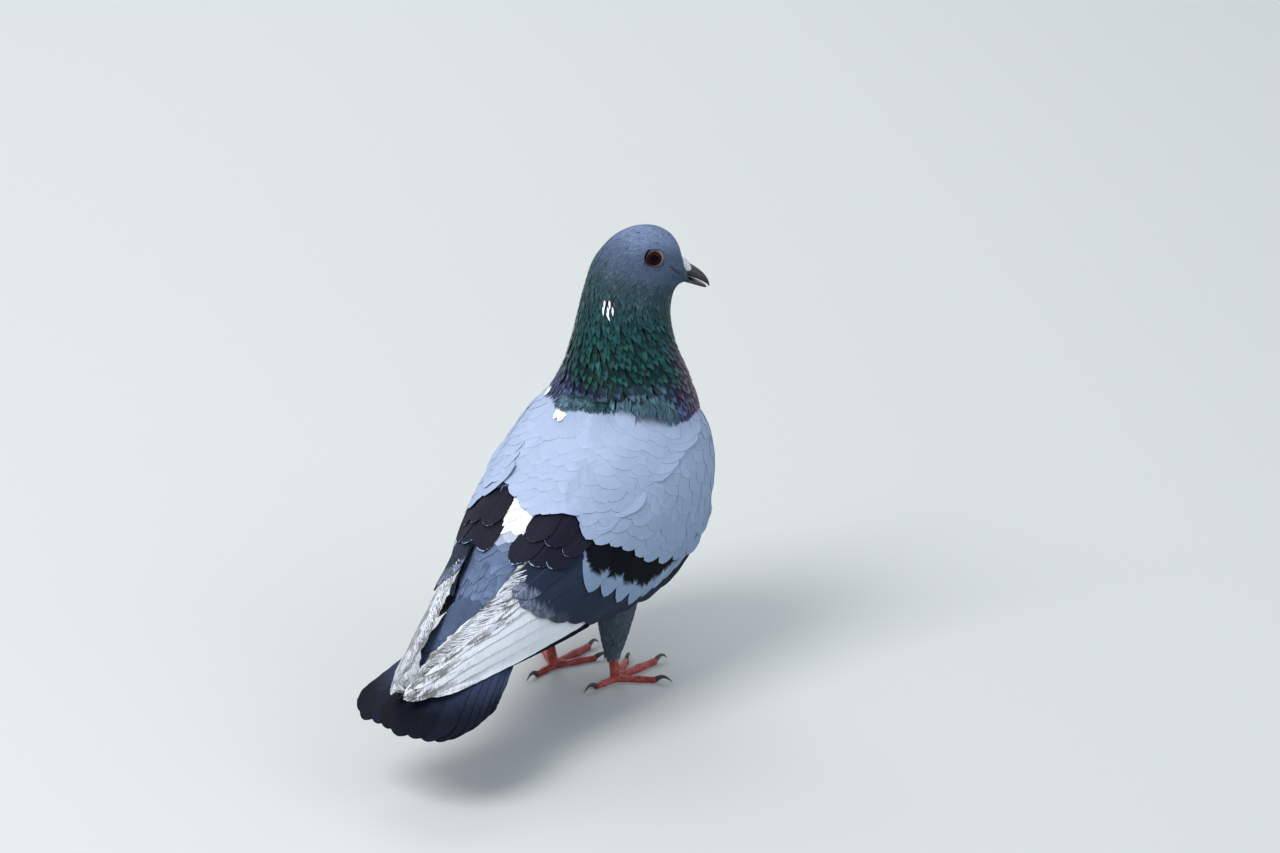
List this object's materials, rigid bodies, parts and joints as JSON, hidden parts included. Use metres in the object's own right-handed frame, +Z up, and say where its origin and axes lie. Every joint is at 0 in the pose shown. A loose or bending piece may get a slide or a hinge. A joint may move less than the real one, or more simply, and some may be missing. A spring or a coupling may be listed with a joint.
{
  "type": "pigeon model",
  "caption": "Life-size still model of a grey feral pigeon standing on both feet, wings folded, head turned to its right.",
  "frame": {"origin": "middle of the bounding box at floor level, under the belly", "axes": "+X the way the trunk faces, +Y to the bird's left, +Z up from the floor"},
  "size_m": [0.2366, 0.099, 0.2088],
  "materials": {
    "plumage": "soft matte contour feathers, pale blue-grey",
    "neck": "soft feathers with a green to purple sheen",
    "head": "short matte feathers, slate grey",
    "wing": "matte coverts, pale blue-grey with dark bars",
    "quills": "matte flight feathers, mostly white",
    "tail": "matte tail feathers, dark slate",
    "thigh": "short matte feathers, grey",
    "leg_skin": "scaly, red",
    "claw": "smooth horn, dark grey",
    "bill": "smooth horn, blackish",
    "cere": "powdery bare skin, chalk white",
    "eye": "wet and shiny, dark red-brown with a black pupil"
  },
  "bodies": {
    "root": {"trunk": "plumage", "neck": "neck", "head": "head", "tail": "tail", "cere": "cere", "bill_upper": "bill", "bill_lower": "bill", "wing_left": "wing", "quills_left": "quills", "thigh_left": "thigh", "shank_left": "leg_skin", "foot_left": "leg_skin", "eye_left": "eye", "claw_left_inner": "claw", "claw_left_middle": "claw", "claw_left_outer": "claw", "claw_left_hind": "claw", "wing_right": "wing", "quills_right": "quills", "thigh_right": "thigh", "shank_right": "leg_skin", "foot_right": "leg_skin", "eye_right": "eye", "claw_right_inner": "claw", "claw_right_middle": "claw", "claw_right_outer": "claw", "claw_right_hind": "claw"}
  },
  "joints": []
}
